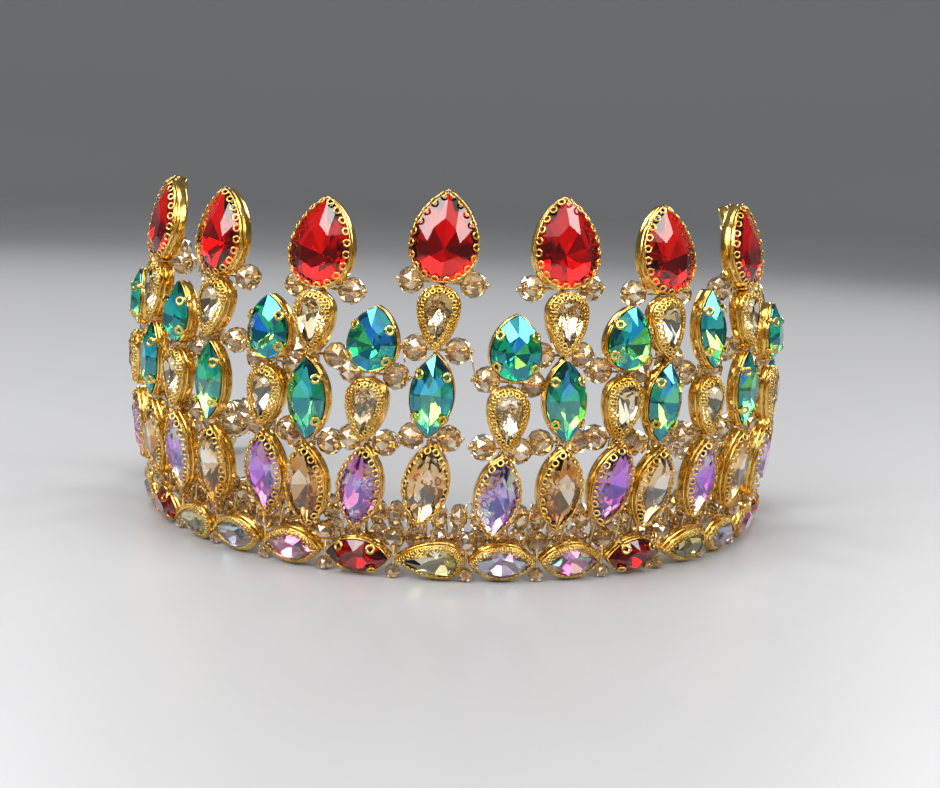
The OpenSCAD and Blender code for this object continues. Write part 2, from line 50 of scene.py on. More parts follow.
FACE_RADIUS = 80.0
PROFILE_RADIUS = 161.0
WIDEST_LEVEL = 38.8
END_ANGLE = 122.0
COLUMN_STEP = 9.5
TALL_OFFSETS = [0, 0, 0, -0.6, -0.9, 0.5, -2.2, 0, 0]
SHORT_OFFSETS = [0, 0, 1.5, -1.4, 0.3, -0.8, -1, 0]
TALL_LIFTS = [0, 0, -1, -1.5, 1, 0.5, -0.5, 0, 0]
SHORT_LIFTS = [0, 0, 0, -0.5, -1, 1, 0, -1]
TALL_SWAYS = [0, 0, 0, 2, 2, -1, 1, 0, 0]
SHORT_SWAYS = [0, 0, 2, 4, 4, 3.5, -1, 0]
TALL_ANGLES = [-88.0] + [COLUMN_STEP * i for i in range(-6, 7, 2)] + [88.0]
TALL_ANGLES = [a + b for a, b in zip(TALL_ANGLES, TALL_OFFSETS)]
SHORT_ANGLES = [-70.0] + [COLUMN_STEP * i for i in range(-5, 6, 2)] + [70.0]
SHORT_ANGLES = [a + b for a, b in zip(SHORT_ANGLES, SHORT_OFFSETS)]
STOPS = sorted([-END_ANGLE, END_ANGLE] + TALL_ANGLES + SHORT_ANGLES)
TALL_LEANS = [3, 0, 0, 0, 0, 0, 0, 0, 11]

RED_TURNS = [0, -3, -3, 2, 0, -2, -5, 0, 0]
AMBER_TURNS = [0, 3, 3, -3, 7, 3, 9, 6, 0]
GREEN_MARQUISE_TURNS = [0, 2, 2, -3, 2, -2, 3, 0, 0]
TALL_CHAMPAGNE_TURNS = [0, 8, 14, -3, 0, 3, -4, -6, 0]
CRYSTAL_TURNS = [0, -4, -2, 3, 2, 8, 3, 8]
GREEN_DROP_TURNS = [0, -2, -4, 2, -2, 4, -3, 2]
SHORT_CHAMPAGNE_TURNS = [0, 3, 4, 0, -3, 4, -3, 0]

BASE_LEVEL = 4.0
FOOT_MARQUISE_LEVEL = 19.45
GREEN_MARQUISE_LEVEL = 37.9
TALL_CHAMPAGNE_LEVEL = 53.3
RED_LEVEL = 69.3
SHORT_CHAMPAGNE_LEVEL = 35.6
GREEN_DROP_LEVEL = 50.1
ODD_COLUMN = 6
ODD_MARQUISE_LEVEL = 52.0
FOOT_JOINT = (28.85, 3.65)
TALL_MIDDLE_JOINT = (46.65, 4.2)
TALL_TOP_JOINT = (59.9, 6.1)
SHORT_JOINT = (42.7, 4.6)

BASE_EACH_SIDE = 10
BASE_STEP = 2 * END_ANGLE / (2 * BASE_EACH_SIDE + 1.4)

# Outline, length and width of each kind of cup.
RED = ("drop", 18.4, 13.8)
FOOT_MARQUISE = ("lens", 17.9, 9.5)
GREEN_MARQUISE = ("lens", 17.2, 9.1)
CHAMPAGNE = ("drop", 13.2, 8.6)
GREEN_DROP = ("drop", 13.4, 10.6)
BASE_LENS = ("lens", 14.0, 8.0)
BASE_DROP = ("drop", 14.0, 8.0)
CUP_DEPTH = 3.6
BASE_CUP_DEPTH = 3.2

BEAD_DIAMETER = 5.7
BEAD_LENGTH = 4.8
ROW_WIRE = 0.45
STEM_WIRE = 0.35
THIN_WIRE = 0.3
BINDING_WIRE = 0.18
LACING_WIRE = 0.2
STEM_DEPTH = CUP_DEPTH + 0.1 + STEM_WIRE
CROSS_DEPTH = STEM_DEPTH + STEM_WIRE + THIN_WIRE
BASE_WIRE_DEPTH = BASE_CUP_DEPTH + 0.1 + THIN_WIRE
UPPER_ROW_LEVEL = 12.6
LOWER_ROW_LEVEL = 7.6
ROW_BEAD_LENGTH = 3.4
BEAD_PITCH_ANGLE = 2.85
STEM_ROOM = 0.4
TIE_DEPTH = 1.6
TIE_BEAD = (4.9, 3.6, 8.35)
LOW_TIE_BEAD = (3.4, 2.5, 1.4)
STEM_LEAVE_LEVEL = 16.0
STEM_FOOT_LEVEL = 5.2
TIE_WIRE_LEVELS = (0.25, 2.6, 5.0, 7.4, 9.65)
TIE_BRACE_RISE = 1.3
TIE_BRACE_STEPS = (0, 1.0, 2.0)
BINDING_TURNS = 3
BINDING_GAP = 1.1
LACING_TURNS = 46
LACING_REACH = (3.15, 5.5)
LACING_SLIP = 1.6
LINK_START = 2.3
RED_STEM_TOP = RED_LEVEL + 4
SHORT_STEM_TOP = GREEN_DROP_LEVEL + 3
EYE_RADIUS = 6.0
EYE_HOLE_RADIUS = 3.0


def face_radius(z, depth=0.0):
    """Distance from the axis of the curve that lies a depth behind the stone faces."""
    reach = PROFILE_RADIUS - depth
    return FACE_RADIUS - PROFILE_RADIUS + math.sqrt(reach**2 - (z - WIDEST_LEVEL) ** 2)


UPPER_ROW_RADIUS = face_radius(UPPER_ROW_LEVEL) - CUP_DEPTH - BEAD_DIAMETER / 2 - 0.05
LOWER_ROW_RADIUS = face_radius(LOWER_ROW_LEVEL) - 6.5
EYE_LEVEL = (UPPER_ROW_LEVEL + LOWER_ROW_LEVEL) / 2
EYE_ROW_RADIUS = (UPPER_ROW_RADIUS + LOWER_ROW_RADIUS) / 2
EYE_ANGLE = END_ANGLE + math.degrees(math.asin((EYE_RADIUS - 0.6) / EYE_ROW_RADIUS))


def turn(degrees, axis):
    return Matrix.Rotation(math.radians(degrees), 4, axis)


def shift(x, y, z):
    return Matrix.Translation((x, y, z))


def on_face(angle, z, clockwise=0.0):
    """Places a stone on the face curve: X runs around the ring, Y up and Z outward."""
    tilt = math.degrees(math.asin((z - WIDEST_LEVEL) / PROFILE_RADIUS))
    out = turn(angle, "Z") @ shift(0, -face_radius(z), z)
    return out @ turn(90 - tilt, "X") @ turn(-clockwise, "Z")


def leaned(angle, lean):
    """Turns the upper half of a column inward about the joint above its foot stone."""
    pivot = face_radius(FOOT_JOINT[0]) - STEM_DEPTH
    out = turn(angle, "Z") @ shift(0, -pivot, FOOT_JOINT[0]) @ turn(-lean, "X")
    return out @ shift(0, pivot, -FOOT_JOINT[0]) @ turn(-angle, "Z")


def swayed(angle, sway):
    """Tips a column sideways about the place where its stem steps back to the row wires."""
    tip = shift(0, 0, STEM_LEAVE_LEVEL) @ turn(sway, "Y") @ shift(0, 0, -STEM_LEAVE_LEVEL)
    return turn(angle, "Z") @ tip @ turn(-angle, "Z")


def on_tall(i, level, clockwise):
    """Places a stone in a tall column; the foot stones don't lean."""
    angle = TALL_ANGLES[i]
    lean = TALL_LEANS[i] if level > FOOT_JOINT[0] else 0
    place = on_face(angle, level + TALL_LIFTS[i], clockwise)
    return swayed(angle, TALL_SWAYS[i]) @ leaned(angle, lean) @ place


def on_short(i, level, clockwise):
    angle = SHORT_ANGLES[i]
    place = on_face(angle, level + SHORT_LIFTS[i], clockwise)
    return swayed(angle, SHORT_SWAYS[i]) @ place


def columns_of(name):
    """(angle, lift, sway, lean) of every column of one kind."""
    if name == "tall":
        return list(zip(TALL_ANGLES, TALL_LIFTS, TALL_SWAYS, TALL_LEANS))
    return list(zip(SHORT_ANGLES, SHORT_LIFTS, SHORT_SWAYS, [0] * len(SHORT_ANGLES)))


def joints_of(name):
    """(place, half the distance between the beads) of every bead pair of one kind of column."""
    levels = {"tall": [FOOT_JOINT, TALL_MIDDLE_JOINT, TALL_TOP_JOINT],
              "short": [FOOT_JOINT, SHORT_JOINT]}[name]
    out = []
    for angle, lift, sway, lean in columns_of(name):
        for level, reach in levels:
            z = level + lift
            place = turn(angle, "Z") @ shift(0, -face_radius(z, CROSS_DEPTH), z)
            tip = leaned(angle, lean if level > FOOT_JOINT[0] else 0)
            out.append((swayed(angle, sway) @ tip @ place, reach))
    return out


# ---- Mesh building ----


class Shape:
    """Vertices and faces in millimetres, with a material, a smooth flag and a tone each."""

    def __init__(self):
        self.points, self.faces = [], []
        self.materials, self.smooth, self.tones = [], [], []

    def add(self, points, faces, place=None, material=0, smooth=True, tones=None):
        first = len(self.points)
        matrix = place or Matrix.Identity(4)
        self.points += [matrix @ Vector(p) for p in points]
        self.faces += [[first + v for v in face] for face in faces]
        self.materials += material if isinstance(material, list) else [material] * len(faces)
        self.smooth += [smooth] * len(faces)
        self.tones += tones or [(0.5, 0.5, 0.5)] * len(faces)

    def piece(self, name, materials, slot, *nodes):
        """Makes the Blender object, which rides on the crown and stands for the CAD nodes."""
        mesh = bpy.data.meshes.new(name)
        mesh.from_pydata([p * MM for p in self.points], [], self.faces)
        for material in materials:
            mesh.materials.append(material)
        mesh.polygons.foreach_set("material_index", self.materials)
        mesh.polygons.foreach_set("use_smooth", self.smooth)
        facet = mesh.color_attributes.new("facet", "FLOAT_COLOR", "CORNER")
        colours = []
        for polygon, tone in zip(mesh.polygons, self.tones):
            colours += [*tone, 1.0] * polygon.loop_total
        facet.data.foreach_set("color", colours)
        mesh.update()
        made = bpy.data.objects.new(name, mesh)
        bpy.context.scene.collection.objects.link(made)
        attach(made, BODY)
        if nodes:
            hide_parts(*nodes)
        return made


def lathe_faces(rings, sides, closed=False):
    """Quads between successive rings of points; closed joins the last ring to the first."""
    faces = []
    for i in range(rings if closed else rings - 1):
        a, b = i * sides, ((i + 1) % rings) * sides
        for j in range(sides):
            k = (j + 1) % sides
            faces.append((a + j, a + k, b + k, b + j))
    return faces


def add_tube(shape, path, radius, sides=8, closed=False, material=0):
    """Round wire along a list of points, with flat ends unless it is closed."""
    path = [Vector(p) for p in path]
    count = len(path)
    points = []
    last = None
    for i, p in enumerate(path):
        before = path[i - 1] if i or closed else p
        after = path[(i + 1) % count] if i < count - 1 or closed else p
        along = (after - before).normalized()
        if last is None:
            helper = Vector((0, 0, 1)) if abs(along.z) < 0.9 else Vector((1, 0, 0))
            last = along.cross(helper).normalized()
        side = (last - along * last.dot(along)).normalized()
        other = along.cross(side)
        last = side
        for j in range(sides):
            a = 2 * math.pi * j / sides
            points.append(p + side * (radius * math.cos(a)) + other * (radius * math.sin(a)))
    faces = lathe_faces(count, sides, closed)
    if not closed:
        faces.append(tuple(range(sides - 1, -1, -1)))
        faces.append(tuple(range((count - 1) * sides, count * sides)))
    shape.add(points, faces, material=material)


class Outline:
    """Closed outline, drawn clockwise from its top point and read by the share of its way."""

    STEPS = 96

    def __init__(self, kind, length, width, inset=0.0):
        arcs = []
        half = width / 2
        if kind == "lens":
            radius = ((length / 2) ** 2 + half**2) / width
            c = radius - half
            reach = math.acos(c / (radius - inset))
            arcs.append((-c, 0, radius - inset, reach, -reach))
            arcs.append((c, 0, radius - inset, math.pi + reach, math.pi - reach))
        else:
            tip = length - half
            radius = (tip**2 + half**2) / width
            c = radius - half
            reach = math.acos(c / (radius - inset))
            y0 = -(tip - half) / 2
            arcs.append((-c, y0, radius - inset, reach, 0))
            arcs.append((0, y0, half - inset, 0, -math.pi))
            arcs.append((c, y0, radius - inset, math.pi, math.pi - reach))
        self.points, self.normals, self.lengths = [], [], [0.0]
        for cx, cy, r, start, end in arcs:
            for i in range(self.STEPS + 1):
                a = start + (end - start) * i / self.STEPS
                self.points.append(Vector((cx + r * math.cos(a), cy + r * math.sin(a))))
                self.normals.append(Vector((math.cos(a), math.sin(a))))
        for p, q in zip(self.points, self.points[1:]):
            self.lengths.append(self.lengths[-1] + (q - p).length)

    def at(self, share):
        """Point and outward direction at a share of the way round."""
        want = (share % 1.0) * self.lengths[-1]
        i = min(max(bisect.bisect_right(self.lengths, want) - 1, 0), len(self.points) - 2)
        gap = self.lengths[i + 1] - self.lengths[i]
        t = (want - self.lengths[i]) / gap if gap > 1e-9 else 0.0
        point = self.points[i].lerp(self.points[i + 1], t)
        return point, self.normals[i].lerp(self.normals[i + 1], t).normalized()


def centre_of(kind, length, width):
    """Height of the middle of a drop's round end above the middle of the stone."""
    return -(length - width) / 2 if kind == "drop" else 0.0


# ---- Stones ----

MAINS = 8
GIRDLE_TOP = -0.35
GIRDLE_BOTTOM = -0.6
TABLE_LEVEL = 1.35
TABLE_SCALE = 0.5
CULET_CLEARANCE = 0.75
HEIGHT_GAIN = 1.5
CLEAR, FOIL = 0, 1

# How far a stone's edge lies inside the outline of its cup.
LACE_INSET = 0.42
CLAW_INSET = 0.25
FILIGREE_INSET = 1.1
BASE_CLAW_INSET = 0.34


def add_gem(shape, size, depth, place, inset, rng):
    """Cut stone: a clear crown of large facets round a table, and a foiled pointed back."""
    kind, length, width = size
    outline = Outline(kind, length, width, inset)
    y0 = centre_of(*size)
    steps = 2 * MAINS

    def ring(scale, z, count):
        out = []
        for j in range(count):
            p, _ = outline.at(j / count)
            out.append((p.x * scale, y0 + (p.y - y0) * scale, z))
        return out

    points = ring(TABLE_SCALE, TABLE_LEVEL, MAINS)
    points += ring(1.0, GIRDLE_TOP, steps) + ring(1.0, GIRDLE_BOTTOM, steps)
    points.append((0.0, y0, CULET_CLEARANCE - depth))
    top, bottom, culet = MAINS, MAINS + steps, MAINS + 2 * steps
    faces, materials = [tuple(range(MAINS - 1, -1, -1))], [CLEAR]
    for j in range(MAINS):
        corner, edge = 2 * j, 2 * j + 1
        before, after = (2 * j - 1) % steps, (2 * j + 2) % steps
        crown = [
            (j, (j + 1) % MAINS, top + edge),
            (j, top + edge, top + corner),
            (j, top + corner, top + before),
            (top + corner, top + edge, bottom + edge, bottom + corner),
            (top + edge, top + after, bottom + after, bottom + edge),
        ]
        back = [
            (culet, bottom + corner, bottom + after),
            (bottom + corner, bottom + edge, bottom + after),
        ]
        faces += crown + back
        materials += [CLEAR] * len(crown) + [FOIL] * len(back)
    tones = []
    for face in faces:
        middle = sum((Vector(points[v]) for v in face), Vector()) / len(face)
        height = min(max(HEIGHT_GAIN * middle.y / length + 0.5, 0.0), 1.0)
        flat = 1.0 if len(face) == MAINS else 0.5
        tones.append((rng.random(), height, flat))
    shape.add(points, faces, place, materials, smooth=False, tones=tones)


# ---- Cups ----

RIM_SIDES = 72
GROOVE_LEVEL = -1.35


def add_cup(shape, size, depth, place, rim_level=-0.3, opening=0.38):
    """Closed cup: a rounded back band, a groove, a front band and a plate behind the stone."""
    kind, length, width = size
    groove = GROOVE_LEVEL
    profile = [
        (0.45, -depth), (0.12, -depth + 0.12), (0.0, -depth + 0.4), (0.0, groove - 0.3),
        (0.05, groove - 0.18), (0.15, groove - 0.12), (0.15, groove + 0.12),
        (0.05, groove + 0.18), (0.0, groove + 0.3), (0.0, rim_level - 0.15), (0.1, rim_level),
        (opening - 0.1, rim_level), (opening, rim_level - 0.1), (opening, -depth + 0.4),
    ]
    points = []
    for inset, z in profile:
        outline = Outline(kind, length, width, inset)
        for j in range(RIM_SIDES):
            p, _ = outline.at(-j / RIM_SIDES)
            points.append((p.x, p.y, z))
    faces = lathe_faces(len(profile), RIM_SIDES)
    last = (len(profile) - 1) * RIM_SIDES
    faces.append(tuple(range(RIM_SIDES - 1, -1, -1)))
    faces.append(tuple(range(last, last + RIM_SIDES)))
    shape.add(points, faces, place)


def ring_template(major, minor, flat, sides=16, around=8):
    """Torus in the XY plane, flattened along Z."""
    points = []
    for i in range(sides):
        a = 2 * math.pi * i / sides
        for j in range(around):
            b = 2 * math.pi * j / around
            r = major + minor * math.cos(b)
            points.append((r * math.cos(a), r * math.sin(a), minor * flat * math.sin(b)))
    return points, [face[::-1] for face in lathe_faces(sides, around, closed=True)]


def add_lace(shape, size, place, count, inset, z, slope, ring, rng, phase=0.5):
    """Row of eyelets round a rim, each folded over the stone by a slope."""
    outline = Outline(*size, inset)
    points, faces = ring
    for i in range(count):
        p, out = outline.at((i + phase) / count)
        angle = math.degrees(math.atan2(out.y, out.x))
        wobble = rng.uniform(-5, 5)
        eyelet = shift(p.x, p.y, z) @ turn(angle, "Z") @ turn(slope + wobble, "Y")
        shape.add(points, faces, place @ eyelet)


def add_claw(shape, place, x, y, angle):
    """Eyelet claw on a neck that rises from the wall and folds over the stone."""
    at_rim = place @ shift(x, y, 0) @ turn(angle, "Z")
    points, faces = ring_template(0.76, 0.33, 0.6, 20, 8)
    shape.add(points, faces, at_rim @ shift(-0.75, 0, 0.62) @ turn(40, "Y"))
    neck = [(0.02, -1.6), (0.08, -0.5), (-0.05, 0.05), (-0.3, 0.35)]
    points = []
    for i, (px, pz) in enumerate(neck):
        half = 0.62 - 0.06 * i
        thick = 0.16
        points += [(px, -half, pz), (px + thick, -half * 0.8, pz + 0.03),
                   (px + thick, half * 0.8, pz + 0.03), (px, half, pz),
                   (px - thick, half * 0.8, pz - 0.03), (px - thick, -half * 0.8, pz - 0.03)]
    faces = lathe_faces(len(neck), 6)
    faces.append(tuple(range(5, -1, -1)))
    faces.append(tuple(range((len(neck) - 1) * 6, len(neck) * 6)))
    shape.add(points, faces, at_rim)


def add_claws(shape, size, place):
    kind, length, width = size
    half = width / 2
    if kind == "lens":
        radius = ((length / 2) ** 2 + half**2) / width
        a = math.asin(0.27 * length / radius)
        spots = [(radius * math.cos(a) - radius + half, s * radius * math.sin(a), s * a)
                 for s in (-1, 1)]
    else:
        tip = length - half
        radius = (tip**2 + half**2) / width
        y0 = centre_of(*size)
        upper, lower = math.radians(28), math.radians(-32)
        spots = [
            (radius * math.cos(upper) - radius + half, radius * math.sin(upper) + y0, upper),
            (half * math.cos(lower), half * math.sin(lower) + y0, lower),
        ]
    for x, y, a in spots:
        add_claw(shape, place, x, y, math.degrees(a))
        add_claw(shape, place, -x, y, 180 - math.degrees(a))


def add_back_loop(shape, place, depth, wire, upright=True):
    """Small loop on the back of a cup that its wire runs through."""
    points, faces = ring_template(wire + 0.31, 0.25, 1.0, 16, 8)
    lie = turn(90, "X") if upright else turn(90, "Y")
    shape.add(points, faces, place @ shift(0, 0, -depth - 0.1 - wire) @ lie)


# ---- Beads ----

BEAD_SIDES = 9


def bead_template(diameter, length, hole):
    """Faceted rondelle with its hole along Z: three bands of facets on each half."""
    r, h = diameter / 2, length / 2
    rings = [(hole, -h, 0.0), (r * 0.52, -h, 0.0), (r * 0.86, -h * 0.62, 0.5),
             (r, 0.0, 0.0), (r * 0.86, h * 0.62, 0.5), (r * 0.52, h, 0.0), (hole, h, 0.0)]
    points, faces = [], []
    n = BEAD_SIDES
    for radius, z, phase in rings:
        for j in range(n):
            a = 2 * math.pi * (j + phase) / n
            points.append((radius * math.cos(a), radius * math.sin(a), z))
    for i in range(len(rings)):
        b = (i + 1) % len(rings)
        p, q = rings[i][2], rings[b][2]
        for j in range(n):
            k = (j + 1) % n
            a0, a1, b0, b1 = i * n + j, i * n + k, b * n + j, b * n + k
            if p == q:
                faces.append((a0, a1, b1, b0))
            elif p < q:
                faces += [(a0, a1, b0), (a1, b1, b0)]
            else:
                faces += [(a0, a1, b1), (a0, b1, b0)]
    return points, faces


def add_bead(shape, template, place, rng):
    points, faces = template
    jitter = turn(rng.uniform(-5, 5), "X") @ turn(rng.uniform(-5, 5), "Y")
    tones = [(rng.random(), 0.5, 0.5) for _ in faces]
    place = place @ jitter @ turn(rng.uniform(0, 360), "Z")
    shape.add(points, faces, place, smooth=False, tones=tones)


# ---- Materials ----


def material(name, **sockets):
    """A Principled material with plain values set on the shader's own sockets."""
    made = bpy.data.materials.new(name)
    made.use_nodes = True
    shader = made.node_tree.nodes["Principled BSDF"]
    for socket, value in sockets.items():
        shader.inputs[socket.replace("_", " ")].default_value = value
    return made


def node(tree, kind, **values):
    made = tree.nodes.new(kind)
    for key, value in values.items():
        if key in made.inputs:
            made.inputs[key].default_value = value
        else:
            setattr(made, key, value)
    return made


def ramp(tree, fac, stops):
    made = tree.nodes.new("ShaderNodeValToRGB")
    elements = made.color_ramp.elements
    while len(elements) < len(stops):
        elements.new(0.5)
    for element, (at, colour) in zip(elements, stops):
        element.position = at
        element.color = (*colour, 1.0)
    tree.links.new(fac, made.inputs["Fac"])
    return made.outputs["Color"]


def metal(name, deep, bright, rough, grain):
    """Plated metal: its colour and polish drift a little, and fine grain breaks its gleam."""
    made = material(name, Metallic=1.0)
    tree = made.node_tree
    shader = tree.nodes["Principled BSDF"]
    place = node(tree, "ShaderNodeTexCoord").outputs["Object"]
    drift = node(tree, "ShaderNodeTexNoise", Scale=260.0, Detail=3.0, Roughness=0.6)
    tree.links.new(place, drift.inputs["Vector"])
    colour = ramp(tree, drift.outputs["Fac"], [(0.35, deep), (0.62, bright)])
    tree.links.new(colour, shader.inputs["Base Color"])
    polish = node(tree, "ShaderNodeMapRange")
    polish.inputs["To Min"].default_value = rough * 0.6
    polish.inputs["To Max"].default_value = rough * 1.5
    tree.links.new(drift.outputs["Fac"], polish.inputs["Value"])
    tree.links.new(polish.outputs["Result"], shader.inputs["Roughness"])
    fine = node(tree, "ShaderNodeTexNoise", Scale=1800.0, Detail=2.0)
    tree.links.new(place, fine.inputs["Vector"])
    bump = node(tree, "ShaderNodeBump", Strength=grain, Distance=0.0001)
    tree.links.new(fine.outputs["Fac"], bump.inputs["Height"])
    tree.links.new(bump.outputs["Normal"], shader.inputs["Normal"])
    return made


def facet_tone(tree, shares):
    """A number for each facet, from its own tone, its height and whether it's the table."""
    facet = node(tree, "ShaderNodeVertexColor", layer_name="facet")
    mix = node(tree, "ShaderNodeVectorMath", operation="DOT_PRODUCT")
    tree.links.new(facet.outputs["Color"], mix.inputs[0])
    mix.inputs[1].default_value = shares
    return mix.outputs["Value"]


def clear(name, stops, film=0.0, shares=(0.5, 0.5, 0.0)):
    """Clear cut glass, each facet in a tint of its own, with an optional iridescent film."""
    made = material(
        name, Transmission_Weight=1.0, Roughness=0.0, IOR=1.36, Coat_Weight=1.0,
        Coat_Roughness=0.0, Coat_IOR=1.55, Thin_Film_Thickness=film, Thin_Film_IOR=2.1,
    )
    tree = made.node_tree
    colour = ramp(tree, facet_tone(tree, shares), stops)
    tree.links.new(colour, tree.nodes["Principled BSDF"].inputs["Base Color"])
    return made


def foil(name, stops, shares=(0.55, 0.45, 0.0)):
    """Foiled back of a stone: a coloured mirror, a little different on each facet."""
    made = material(name, Metallic=1.0, Roughness=0.08)
    tree = made.node_tree
    colour = ramp(tree, facet_tone(tree, shares), stops)
    tree.links.new(colour, tree.nodes["Principled BSDF"].inputs["Base Color"])
    return made


GOLD = metal("gold_plate", (0.64, 0.36, 0.05), (0.98, 0.70, 0.22), 0.15, 0.35)
WIRE = metal("wire_gold", (0.66, 0.50, 0.22), (0.92, 0.80, 0.52), 0.2, 0.15)
RUBY = [
    clear("ruby_face", [(0.0, (1.0, 0.08, 0.07)), (1.0, (1.0, 0.15, 0.14))]),
    foil("ruby_foil", [(0.0, (0.50, 0.0, 0.004)), (0.5, (0.85, 0.004, 0.008)),
                       (1.0, (1.0, 0.04, 0.02))]),
]
DARK_RED = [
    clear("dark_red_face", [(0.0, (0.75, 0.03, 0.03)), (1.0, (1.0, 0.14, 0.05))]),
    foil("dark_red_foil", [(0.0, (0.20, 0.0, 0.003)), (0.55, (0.60, 0.003, 0.005)),
                           (1.0, (1.0, 0.16, 0.02))]),
]
AMBER_SHARES = (0.25, 0.1, 0.65)
AMBER = [
    clear("amber_face", [(0.38, (1.0, 0.56, 0.20)), (0.55, (1.0, 0.74, 0.42)),
                         (0.68, (1.0, 0.98, 0.95))], shares=AMBER_SHARES),
    foil("amber_foil", [(0.38, (0.72, 0.46, 0.22)), (0.45, (0.92, 0.80, 0.62)),
                        (0.58, (0.97, 0.96, 0.93))], shares=AMBER_SHARES),
]
CORE_SHARES = (0.3, 0.25, 0.45)
VIOLET = [
    clear("violet_face", [(0.26, (1.0, 0.72, 0.84)), (0.38, (1.0, 0.96, 0.94)),
                          (0.48, (0.84, 1.0, 0.90)), (0.55, (1.0, 0.98, 0.98)),
                          (0.6, (0.84, 0.50, 1.0)), (0.8, (0.60, 0.22, 1.0))], film=280.0,
          shares=CORE_SHARES),
    foil("violet_foil", [(0.15, (0.98, 0.40, 0.72)), (0.3, (0.90, 0.68, 0.94)),
                         (0.45, (0.95, 0.93, 0.94)), (0.6, (0.80, 0.96, 0.84)),
                         (0.75, (0.98, 0.80, 0.83)), (0.9, (0.98, 0.98, 0.96))]),
]
LEVEL_SHARES = (0.38, 0.62, 0.0)
GREEN = [
    clear("green_face", [(0.28, (0.42, 0.90, 0.80)), (0.42, (0.40, 0.80, 1.0)),
                         (0.54, (0.50, 0.72, 1.0)), (0.62, (0.70, 1.0, 0.80)),
                         (0.8, (0.85, 1.0, 0.70))], film=172.0, shares=CORE_SHARES),
    foil("green_foil", [(0.16, (1.0, 0.93, 0.10)), (0.34, (0.62, 0.92, 0.14)),
                        (0.46, (0.05, 0.60, 0.24)), (0.6, (0.02, 0.55, 0.52)),
                        (0.76, (0.10, 0.60, 0.98)), (0.92, (0.08, 0.20, 0.95))],
         shares=LEVEL_SHARES),
]
BLUE_GREEN = [
    clear("blue_green_face", [(0.3, (0.80, 1.0, 0.40)), (0.42, (0.34, 0.95, 0.46)),
                              (0.56, (0.30, 0.90, 0.80)), (0.66, (0.36, 0.80, 1.0)),
                              (0.82, (0.34, 0.46, 1.0))], film=168.0, shares=CORE_SHARES),
    foil("blue_green_foil", [(0.15, (0.90, 0.95, 0.10)), (0.3, (0.24, 0.84, 0.14)),
                             (0.45, (0.02, 0.58, 0.34)), (0.6, (0.04, 0.62, 0.92)),
                             (0.8, (0.05, 0.20, 0.98)), (0.95, (0.40, 0.20, 0.98))]),
]
PALE = [
    clear("champagne_face", [(0.0, (1.0, 0.93, 0.78)), (1.0, (1.0, 1.0, 0.98))]),
    foil("champagne_foil", [(0.0, (0.62, 0.44, 0.20)), (0.4, (0.93, 0.82, 0.58)),
                            (1.0, (0.97, 0.96, 0.93))]),
]
STRAW = [
    clear("straw_face", [(0.0, (1.0, 0.95, 0.65)), (1.0, (1.0, 1.0, 0.97))]),
    foil("straw_foil", [(0.0, (0.55, 0.46, 0.12)), (0.4, (0.90, 0.82, 0.48)),
                        (1.0, (0.98, 0.97, 0.94))]),
]
CRYSTAL = [
    clear("crystal_face", [(0.0, (0.86, 0.74, 0.95)), (0.4, (0.98, 0.90, 0.96)),
                           (0.7, (0.82, 1.0, 0.93)), (1.0, (1.0, 1.0, 1.0))], film=125.0),
    foil("crystal_foil", [(0.0, (0.55, 0.48, 0.60)), (0.35, (0.84, 0.76, 0.86)),
                          (0.65, (0.78, 0.92, 0.86)), (1.0, (0.95, 0.95, 0.95))]),
]
ROSE_SHARES = (0.8, 0.2, 0.0)
ROSE = [
    clear("rose_face", [(0.0, (1.0, 0.45, 0.70)), (0.35, (1.0, 0.75, 0.82)),
                        (0.65, (0.95, 0.94, 0.78)), (1.0, (0.60, 0.98, 0.88))], film=255.0,
          shares=ROSE_SHARES),
    foil("rose_foil", [(0.1, (0.96, 0.12, 0.55)), (0.35, (0.97, 0.50, 0.62)),
                       (0.55, (0.94, 0.82, 0.60)), (0.75, (0.35, 0.82, 0.78)),
                       (0.95, (0.92, 0.94, 0.92))], shares=ROSE_SHARES),
]


def lustre(name, stops, mirror):
    """Cut glass with a thin metal lustre: each facet has a tint, and some are half mirrors."""
    made = material(name, Transmission_Weight=0.96, Roughness=0.0, IOR=1.58, Coat_Weight=0.8,
                    Coat_Roughness=0.0, Coat_IOR=1.9)
    tree = made.node_tree
    shader = tree.nodes["Principled BSDF"]
    tone = facet_tone(tree, (1.0, 0.0, 0.0))
    tree.links.new(ramp(tree, tone, stops), shader.inputs["Base Color"])
    share = node(tree, "ShaderNodeMapRange")
    share.inputs["From Min"].default_value = 0.45
    share.inputs["To Max"].default_value = mirror
    tree.links.new(tone, share.inputs["Value"])
    tree.links.new(share.outputs["Result"], shader.inputs["Metallic"])
    return made


BEAD = lustre("champagne_bead", [(0.0, (0.90, 0.56, 0.23)), (0.45, (0.96, 0.68, 0.34)),
                                 (0.75, (0.99, 0.76, 0.44)), (1.0, (1.0, 0.90, 0.70))], 0.7)


def satin(name, deep, bright, ribs):
    """Satin thread wound in fine ribs, with a soft sheen. The colour follows the ribs' bump:
    lighter on the ridges and darker in the grooves, which is painted shade.
    """
    made = material(name, Roughness=0.45, Sheen_Weight=0.4, Specular_IOR_Level=0.6)
    tree = made.node_tree
    shader = tree.nodes["Principled BSDF"]
    place = node(tree, "ShaderNodeTexCoord").outputs["Object"]
    thread = node(tree, "ShaderNodeTexWave", Scale=ribs, Distortion=2.0, Detail=2.0)
    tree.links.new(place, thread.inputs["Vector"])
    # Painted shade: the ribs that make the bump also set the colour, darker in the grooves between
    # windings.
    colour = ramp(tree, thread.outputs["Fac"], [(0.1, deep), (0.7, bright)])
    tree.links.new(colour, shader.inputs["Base Color"])
    bump = node(tree, "ShaderNodeBump", Strength=0.5, Distance=0.0002)
    tree.links.new(thread.outputs["Fac"], bump.inputs["Height"])
    tree.links.new(bump.outputs["Normal"], shader.inputs["Normal"])
    return made
